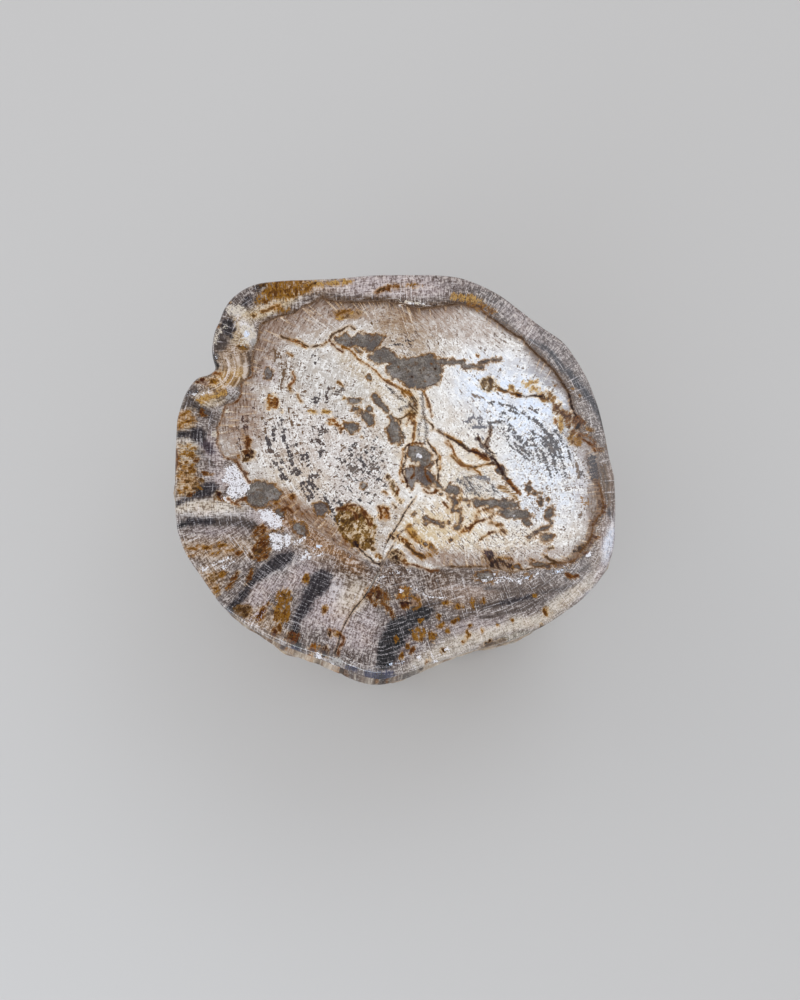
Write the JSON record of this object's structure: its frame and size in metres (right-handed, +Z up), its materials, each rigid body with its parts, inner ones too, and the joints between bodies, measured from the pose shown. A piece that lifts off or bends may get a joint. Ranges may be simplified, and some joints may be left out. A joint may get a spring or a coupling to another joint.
{
  "type": "petrified wood stump",
  "caption": "Section of petrified tree trunk standing upright on a flat sawn base, with natural fluted sides and a flat polished top face.",
  "frame": {"origin": "bottom centre of the box that encloses the stump, on the plane it stands on", "axes": "+Z up the trunk to the polished face, +X to the right and +Y away from the viewer as the picture shows the face"},
  "size_m": [0.3848, 0.3742, 0.405],
  "materials": {
    "petrified_wood": "polished on the top face, matt and rough round the sides"
  },
  "bodies": {
    "root": {"stump": "petrified_wood"}
  },
  "joints": []
}
